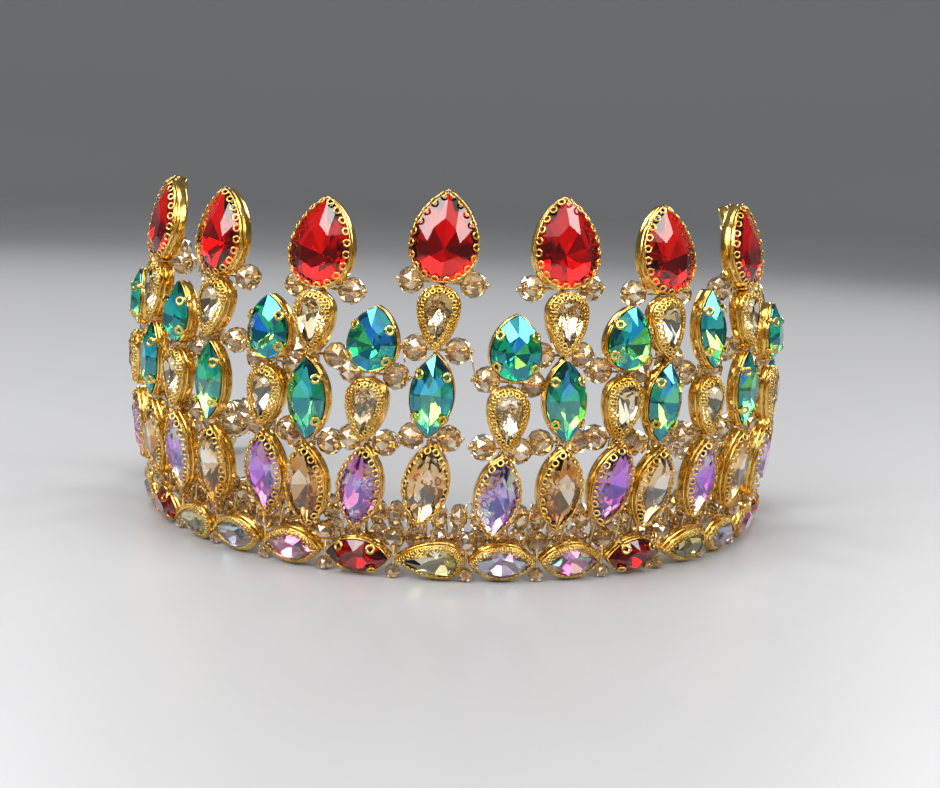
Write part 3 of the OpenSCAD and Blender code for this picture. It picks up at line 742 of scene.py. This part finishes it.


# Cream thread; its darker colour is painted shade in the grooves between the windings.
CREAM = satin("cream_thread_groove_shade", (0.66, 0.54, 0.34), (0.90, 0.82, 0.64), 420.0)


# ---- Stones and cups of the crown ----

LACE = ring_template(0.64, 0.21, 0.75)
SMALL_LACE = ring_template(0.46, 0.19, 0.75, 14, 6)
FINE_LACE = ring_template(0.33, 0.15, 0.8, 12, 6)


def lace_cup(shape, place, size, count, rng):
    add_cup(shape, size, CUP_DEPTH, place)
    add_lace(shape, size, place, count, 0.5, 0.18, 46, LACE, rng)
    add_back_loop(shape, place, CUP_DEPTH, STEM_WIRE)


def filigree_cup(shape, place, size, rng):
    """Cup of a champagne drop: two rows of eyelets, the inner one higher and closer."""
    add_cup(shape, size, CUP_DEPTH, place, opening=1.05)
    add_lace(shape, size, place, 22, 0.45, 0.05, 50, SMALL_LACE, rng)
    add_lace(shape, size, place, 20, 1.1, 0.55, 28, SMALL_LACE, rng, phase=0.0)
    add_back_loop(shape, place, CUP_DEPTH, STEM_WIRE)


def claw_cup(shape, place, size):
    add_cup(shape, size, CUP_DEPTH, place, rim_level=-0.7, opening=0.22)
    add_claws(shape, size, place)
    add_back_loop(shape, place, CUP_DEPTH, STEM_WIRE)


def base_place(k):
    return on_face(k * BASE_STEP, BASE_LEVEL) @ turn(90, "Z")


def base_lace_cup(shape, place, size, rng):
    add_cup(shape, size, BASE_CUP_DEPTH, place)
    add_lace(shape, size, place, 30, 0.34, -0.05, 50, FINE_LACE, rng)
    add_lace(shape, size, place, 28, 0.78, 0.32, 30, FINE_LACE, rng, phase=0.0)
    add_back_loop(shape, place, BASE_CUP_DEPTH, THIN_WIRE, upright=False)


def base_claw_cup(shape, place, size):
    add_cup(shape, size, BASE_CUP_DEPTH, place, rim_level=-0.5, opening=0.3)
    add_claws(shape, size, place)
    add_back_loop(shape, place, BASE_CUP_DEPTH, THIN_WIRE, upright=False)


def build_stones(name, places, size, depth, inset, materials, slot, seed):
    shape, rng = Shape(), random.Random(seed)
    for place in places:
        add_gem(shape, size, depth, place, inset, rng)
    return shape.piece(name + "_look", materials, slot, name)


def build_cups(name, places, add, size, *more):
    shape = Shape()
    for place in places:
        add(shape, place, size, *more)
    return shape.piece(name + "_look", [GOLD], "gold_plate", name)


def build_columns():
    rng = random.Random(11)
    for i in range(len(TALL_ANGLES)):
        place = on_tall(i, RED_LEVEL, RED_TURNS[i])
        build_cups(f"red_cup_{i + 1}", [place], lace_cup, RED, 20, rng)
        build_stones(f"red_stone_{i + 1}", [place], RED, CUP_DEPTH, LACE_INSET, RUBY,
                     "ruby_glass", 100 + i)
    tall_count, short_count = range(len(TALL_ANGLES)), range(len(SHORT_ANGLES))
    amber = [on_tall(i, FOOT_MARQUISE_LEVEL, AMBER_TURNS[i]) for i in tall_count]
    build_cups("amber_marquise_cups", amber, lace_cup, FOOT_MARQUISE, 18, rng)
    build_stones("amber_marquise_stones", amber, FOOT_MARQUISE, CUP_DEPTH, LACE_INSET, AMBER,
                 "amber_glass", 21)
    green = [on_tall(i, GREEN_MARQUISE_LEVEL, GREEN_MARQUISE_TURNS[i]) for i in tall_count]
    green.append(on_short(ODD_COLUMN, ODD_MARQUISE_LEVEL, GREEN_DROP_TURNS[ODD_COLUMN]))
    build_cups("green_marquise_cups", green, claw_cup, GREEN_MARQUISE)
    build_stones("green_marquise_stones", green, GREEN_MARQUISE, CUP_DEPTH, CLAW_INSET, GREEN,
                 "green_glass", 22)
    pale = [on_tall(i, TALL_CHAMPAGNE_LEVEL, 180 + TALL_CHAMPAGNE_TURNS[i])
            for i in tall_count]
    build_cups("tall_champagne_cups", pale, filigree_cup, CHAMPAGNE, rng)
    build_stones("tall_champagne_stones", pale, CHAMPAGNE, CUP_DEPTH, FILIGREE_INSET, PALE,
                 "champagne_glass", 23)
    violet = [on_short(i, FOOT_MARQUISE_LEVEL, CRYSTAL_TURNS[i]) for i in short_count]
    build_cups("crystal_marquise_cups", violet, lace_cup, FOOT_MARQUISE, 18, rng)
    build_stones("crystal_marquise_stones", violet, FOOT_MARQUISE, CUP_DEPTH, LACE_INSET, VIOLET,
                 "violet_glass", 24)
    pale = [on_short(i, SHORT_CHAMPAGNE_LEVEL, 180 + SHORT_CHAMPAGNE_TURNS[i])
            for i in short_count]
    build_cups("short_champagne_cups", pale, filigree_cup, CHAMPAGNE, rng)
    build_stones("short_champagne_stones", pale, CHAMPAGNE, CUP_DEPTH, FILIGREE_INSET, PALE,
                 "champagne_glass", 25)
    drops = [on_short(i, GREEN_DROP_LEVEL, GREEN_DROP_TURNS[i])
             for i in short_count if i != ODD_COLUMN]
    build_cups("green_drop_cups", drops, claw_cup, GREEN_DROP)
    build_stones("green_drop_stones", drops, GREEN_DROP, CUP_DEPTH, CLAW_INSET, BLUE_GREEN,
                 "blue_green_glass", 26)


def build_base():
    rng = random.Random(12)
    kinds = [
        ("drop", BASE_DROP, STRAW, "straw_glass"),
        ("crystal", BASE_LENS, CRYSTAL, "crystal_glass"),
        ("rose", BASE_LENS, ROSE, "rose_glass"),
        ("red", BASE_LENS, DARK_RED, "dark_red_glass"),
    ]
    steps = range(-BASE_EACH_SIDE, BASE_EACH_SIDE + 1)
    for number, (name, size, glass, slot) in enumerate(kinds):
        places = [base_place(k) for k in steps if k % len(kinds) == number]
        if name == "red":
            build_cups("base_red_cups", places, base_claw_cup, size)
        else:
            build_cups(f"base_{name}_cups", places, base_lace_cup, size, rng)
        build_stones(f"base_{name}_stones", places, size, BASE_CUP_DEPTH,
                     BASE_CLAW_INSET if name == "red" else LACE_INSET, glass, slot, 30 + number)


# ---- Beads and wires of the crown ----


def build_beads():
    rng = random.Random(13)
    row_bead = bead_template(BEAD_DIAMETER, ROW_BEAD_LENGTH, 0.58)
    pair_bead = bead_template(BEAD_DIAMETER, BEAD_LENGTH, 0.38)
    for name, radius, level in (("upper", UPPER_ROW_RADIUS, UPPER_ROW_LEVEL),
                                ("lower", LOWER_ROW_RADIUS, LOWER_ROW_LEVEL)):
        shape = Shape()
        for start, end in zip(STOPS, STOPS[1:]):
            stretch = end - start - 2 * STEM_ROOM
            count = math.floor(stretch / BEAD_PITCH_ANGLE)
            for i in range(count):
                angle = start + STEM_ROOM + stretch * (i + 0.5) / count
                place = turn(angle, "Z") @ shift(0, -radius, level) @ turn(90, "Y")
                add_bead(shape, row_bead, place, rng)
        shape.piece(f"base_beads_{name}_look", [BEAD], "champagne_bead", f"base_beads_{name}")
    shape = Shape()
    for k in range(-BASE_EACH_SIDE, BASE_EACH_SIDE):
        spot = turn((k + 0.5) * BASE_STEP, "Z")
        for diameter, length, level in (TIE_BEAD, LOW_TIE_BEAD):
            place = spot @ shift(0, TIE_DEPTH - face_radius(BASE_LEVEL), level)
            add_bead(shape, bead_template(diameter, length, 0.38), place, rng)
    shape.piece("base_tie_beads_look", [BEAD], "champagne_bead", "base_tie_beads")
    for name in ("tall", "short"):
        shape = Shape()
        for place, reach in joints_of(name):
            for side in (-1, 1):
                spot = place @ shift(side * reach, 0, 0) @ turn(90, "Y")
                add_bead(shape, pair_bead, spot, rng)
        shape.piece(f"{name}_column_beads_look", [BEAD], "champagne_bead",
                    f"{name}_column_beads")


def ring_path(radius, level, half_angle, steps=160):
    out = []
    for i in range(steps + 1):
        a = math.radians(-half_angle + 2 * half_angle * i / steps)
        out.append((radius * math.sin(a), -radius * math.cos(a), level))
    return out


def stem_path(angle, top, sway, lean):
    """Points up a stem: from its foot behind the bead rows, then up the face curve."""
    touch = ROW_WIRE + STEM_WIRE
    low = [(LOWER_ROW_RADIUS + touch, STEM_FOOT_LEVEL), (LOWER_ROW_RADIUS + touch, LOWER_ROW_LEVEL),
           (UPPER_ROW_RADIUS + touch, UPPER_ROW_LEVEL)]
    steps = 24
    for i in range(steps + 1):
        z = STEM_LEAVE_LEVEL + (top - STEM_LEAVE_LEVEL) * i / steps
        low.append((face_radius(z, STEM_DEPTH), z))
    out = []
    for radius, z in low:
        place = turn(angle, "Z")
        if z > FOOT_JOINT[0]:
            place = leaned(angle, lean) @ place
        if z > STEM_LEAVE_LEVEL:
            place = swayed(angle, sway) @ place
        out.append(place @ Vector((0, -radius, z)))
    return out


def build_wires():
    for name, path in (
        ("base_wire_upper", ring_path(UPPER_ROW_RADIUS, UPPER_ROW_LEVEL, END_ANGLE + 1)),
        ("base_wire_lower", ring_path(LOWER_ROW_RADIUS, LOWER_ROW_LEVEL, END_ANGLE + 1)),
    ):
        shape = Shape()
        add_tube(shape, path, ROW_WIRE, 10)
        shape.piece(name + "_look", [WIRE], "wire", name)
    tilt = math.asin((BASE_LEVEL - WIDEST_LEVEL) / PROFILE_RADIUS)
    radius = face_radius(BASE_LEVEL) - BASE_WIRE_DEPTH * math.cos(tilt)
    level = BASE_LEVEL - BASE_WIRE_DEPTH * math.sin(tilt)
    shape = Shape()
    add_tube(shape, ring_path(radius, level, (BASE_EACH_SIDE + 0.4) * BASE_STEP), THIN_WIRE)
    shape.piece("base_stone_wire_look", [WIRE], "wire", "base_stone_wire")
    shape = Shape()
    for k in range(-BASE_EACH_SIDE, BASE_EACH_SIDE):
        spot = turn((k + 0.5) * BASE_STEP, "Z")
        front = TIE_DEPTH - face_radius(BASE_LEVEL)
        upright = [spot @ Vector((0, front, z)) for z in TIE_WIRE_LEVELS]
        add_tube(shape, upright, THIN_WIRE)
        brace = BASE_LEVEL + TIE_BRACE_RISE
        back = [spot @ Vector((0, front + y, brace)) for y in TIE_BRACE_STEPS]
        add_tube(shape, back, THIN_WIRE * 0.8)
    shape.piece("base_tie_wires_look", [WIRE], "wire", "base_tie_wires")
    for name, top in (("tall", RED_STEM_TOP), ("short", SHORT_STEM_TOP)):
        shape = Shape()
        for angle, _, sway, lean in columns_of(name):
            add_tube(shape, stem_path(angle, top, sway, lean), STEM_WIRE)
        shape.piece(f"{name}_stem_wires_look", [WIRE], "wire", f"{name}_stem_wires")
    shape = Shape()
    for place, reach in joints_of("tall") + joints_of("short"):
        half = reach + BEAD_LENGTH / 2 - 0.15
        add_tube(shape, [place @ Vector((x * half, 0, 0)) for x in (-1, -0.5, 0, 0.5, 1)],
                 THIN_WIRE)
    shape.piece("bead_cross_wires_look", [WIRE], "wire", "bead_cross_wires")


def helix(turns, radius, pitch, steps=12):
    """Points of a coil round Y."""
    out = []
    for i in range(turns * steps + 1):
        a = 2 * math.pi * i / steps
        y = pitch * (i / steps - turns / 2)
        out.append(Vector((radius * math.cos(a), y, radius * math.sin(a))))
    return out


def build_bindings():
    """Thin wire coiled round each stem and its cross wire, on both sides of a joint."""
    shape = Shape()
    coil = helix(BINDING_TURNS, STEM_WIRE + BINDING_WIRE, 2.2 * BINDING_WIRE)
    stem_gap = CROSS_DEPTH - STEM_DEPTH
    for place, reach in joints_of("tall") + joints_of("short"):
        for side in (-1, 1):
            spot = place @ shift(0, -stem_gap, side * BINDING_GAP) @ turn(90, "X")
            add_tube(shape, [spot @ p for p in coil], BINDING_WIRE, 6)
            end = place @ shift(side * (reach + BEAD_LENGTH / 2 + 0.1), 0, 0) @ turn(90, "Z")
            add_tube(shape, [end @ p for p in coil], BINDING_WIRE, 6)
    shape.piece("joint_bindings", [WIRE], "wire")


def build_lacing():
    """Wire wound round both bead rows, from one end of the ring to the other."""
    shape = Shape()
    rng = random.Random(27)
    out_by, up_by = LACING_REACH
    steps = 20
    end = END_ANGLE - 1
    slip = [rng.uniform(-LACING_SLIP, LACING_SLIP) for _ in range(LACING_TURNS + 2)]
    path = []
    for i in range(LACING_TURNS * steps + 1):
        a = 2 * math.pi * i / steps
        f = i / steps - int(i / steps)
        drift = slip[i // steps] * (1 - f) + slip[i // steps + 1] * f
        radius = EYE_ROW_RADIUS + out_by * math.cos(a)
        level = EYE_LEVEL + up_by * math.sin(a)
        angle = -end + 2 * end * i / (LACING_TURNS * steps) + drift
        angle = min(max(angle, -end), end)
        path.append(turn(angle, "Z") @ Vector((0, -radius, level)))
    add_tube(shape, path, LACING_WIRE, 6)
    shape.piece("row_lacing", [WIRE], "wire")


def build_links():
    """Thin wires from the middle beads of each tall column, but the end ones, to both sides."""
    shape = Shape()
    rng = random.Random(14)
    tall_middle = joints_of("tall")[1::3]
    short_middle = joints_of("short")[1::2]
    last = len(SHORT_ANGLES)
    pairs = [(i, i, 1) for i in range(1, last)] + [(i + 1, i, -1) for i in range(last - 1)]
    for t, k, side in pairs:
        place, reach = tall_middle[t]
        start = place @ Vector((side * (reach + LINK_START), 0, 0))
        place, reach = short_middle[k]
        end = place @ Vector((-side * (reach + LINK_START), 0, 0))
        bow = Vector((start.x + end.x, start.y + end.y, 0)).normalized() * rng.uniform(0.8, 2.2)
        bow.z = rng.uniform(-1.5, 1.5)
        path = []
        for i in range(13):
            f = i / 12
            path.append(start.lerp(end, f) + bow * math.sin(math.pi * f))
        add_tube(shape, path, BINDING_WIRE, 6)
    shape.piece("column_links", [WIRE], "wire")


def build_eyes():
    """Ribbon eyes: a ring wound closely with satin thread."""
    for name, side in (("left", -1), ("right", 1)):
        shape = Shape()
        sides, around, ridges = 96, 24, 24
        major = (EYE_RADIUS + EYE_HOLE_RADIUS) / 2
        minor = (EYE_RADIUS - EYE_HOLE_RADIUS) / 2
        place = turn(side * EYE_ANGLE, "Z") @ shift(0, -EYE_ROW_RADIUS, EYE_LEVEL) @ turn(90, "X")
        points, faces = ring_template(major, minor, 1.0, sides, around)
        wound = []
        for i, p in enumerate(points):
            wave = abs(math.sin(math.pi * ridges * (i // around) / sides))
            ridge = 0.94 + 0.06 * wave
            centre = Vector((p[0], p[1], 0)).normalized() * major
            wound.append(centre + (Vector(p) - centre) * ridge)
        shape.add(wound, faces, place)
        shape.piece(f"ribbon_eye_{name}_look", [CREAM], "eye", f"ribbon_eye_{name}")


# ---- Floor, lights and camera ----


def build_stage():
    """Pale floor that curves up far away on all sides."""
    profile = [(0.0, 0.0), (0.3, 0.0), (0.9, 0.0), (1.3, 0.02), (1.6, 0.12), (1.8, 0.35),
               (1.9, 0.7), (1.95, 1.2)]
    sides = 96
    points, faces = [(0, 0, 0)], []
    for r, z in profile[1:]:
        for j in range(sides):
            a = 2 * math.pi * j / sides
            points.append((r * math.cos(a), r * math.sin(a), z))
    for j in range(sides):
        k = (j + 1) % sides
        faces.append((0, 1 + j, 1 + k))
        for i in range(len(profile) - 2):
            a, b = 1 + i * sides, 1 + (i + 1) * sides
            faces.append((a + j, b + j, b + k, a + k))
    mesh = bpy.data.meshes.new("floor")
    mesh.from_pydata(points, [], faces)
    mesh.polygons.foreach_set("use_smooth", [True] * len(faces))
    mesh.materials.append(material("floor_pale", Roughness=0.4, Base_Color=(0.46, 0.46, 0.47, 1)))
    floor = bpy.data.objects.new("floor", mesh)
    bpy.context.scene.collection.objects.link(floor)


def area_light(name, azimuth, elevation, distance, width, height, watts, colour=(1, 1, 1)):
    data = bpy.data.lights.new(name, "AREA")
    data.shape = "RECTANGLE"
    data.size, data.size_y, data.energy, data.color = width, height, watts, colour
    lamp = bpy.data.objects.new(name, data)
    bpy.context.scene.collection.objects.link(lamp)
    a, e = math.radians(azimuth), math.radians(elevation)
    way = Vector((math.sin(a) * math.cos(e), -math.cos(a) * math.cos(e), math.sin(e)))
    lamp.location = way * distance + Vector((0, 0, 0.04))
    lamp.rotation_mode = "QUATERNION"
    lamp.rotation_quaternion = way.to_track_quat("Z", "Y")


def build_lights():
    area_light("key", -38, 42, 0.85, 0.60, 0.44, 5.6)
    area_light("fill", 58, 38, 0.85, 0.50, 0.32, 3.4, (1.0, 0.98, 0.95))
    area_light("front", 4, 44, 1.2, 1.00, 0.50, 1.6)
    area_light("top", 0, 82, 0.8, 0.45, 0.30, 2.4)
    area_light("back_left", -140, 35, 0.8, 0.30, 0.22, 1.8)
    area_light("back_right", 145, 32, 0.8, 0.30, 0.22, 1.8)
    world = bpy.data.worlds.new("studio")
    bpy.context.scene.world = world
    world.use_nodes = True
    back = world.node_tree.nodes["Background"]
    back.inputs["Color"].default_value = (0.75, 0.78, 0.82, 1.0)
    back.inputs["Strength"].default_value = 0.22


def set_view():
    """Shows the colours as they are, with no film curve."""
    bpy.context.scene.view_settings.view_transform = "Standard"


CAMERA_AZIMUTH = 2.46
CAMERA_ELEVATION = 9.85
CAMERA_ROLL = 2.56
CAMERA_DISTANCE = 343.0
CAMERA_AIM = (3.66, 25.95)
CAMERA_LENS = 51.23
CAMERA_SENSOR = 36.0


def build_camera():
    data = bpy.data.cameras.new("camera")
    data.lens, data.sensor_width = CAMERA_LENS, CAMERA_SENSOR
    data.clip_start, data.clip_end = 0.01, 10.0
    camera = bpy.data.objects.new("camera", data)
    bpy.context.scene.collection.objects.link(camera)
    a, e = math.radians(CAMERA_AZIMUTH), math.radians(CAMERA_ELEVATION)
    roll = math.radians(CAMERA_ROLL)
    back = Vector((math.sin(a) * math.cos(e), -math.cos(a) * math.cos(e), math.sin(e)))
    level = Vector((math.cos(a), math.sin(a), 0))
    up = back.cross(level)
    right = level * math.cos(roll) + up * math.sin(roll)
    up = back.cross(right)
    aim = (level * CAMERA_AIM[0] + Vector((0, 0, CAMERA_AIM[1]))) * MM
    camera.matrix_world = Matrix.Translation(aim + back * CAMERA_DISTANCE * MM) @ Matrix(
        (right, up, back)
    ).transposed().to_4x4()
    bpy.context.scene.camera = camera


build_camera()
build_stage()
build_lights()
set_view()
build_wires()
build_bindings()
build_lacing()
build_links()
build_eyes()
build_beads()
build_columns()
build_base()

bpy.context.view_layer.update()
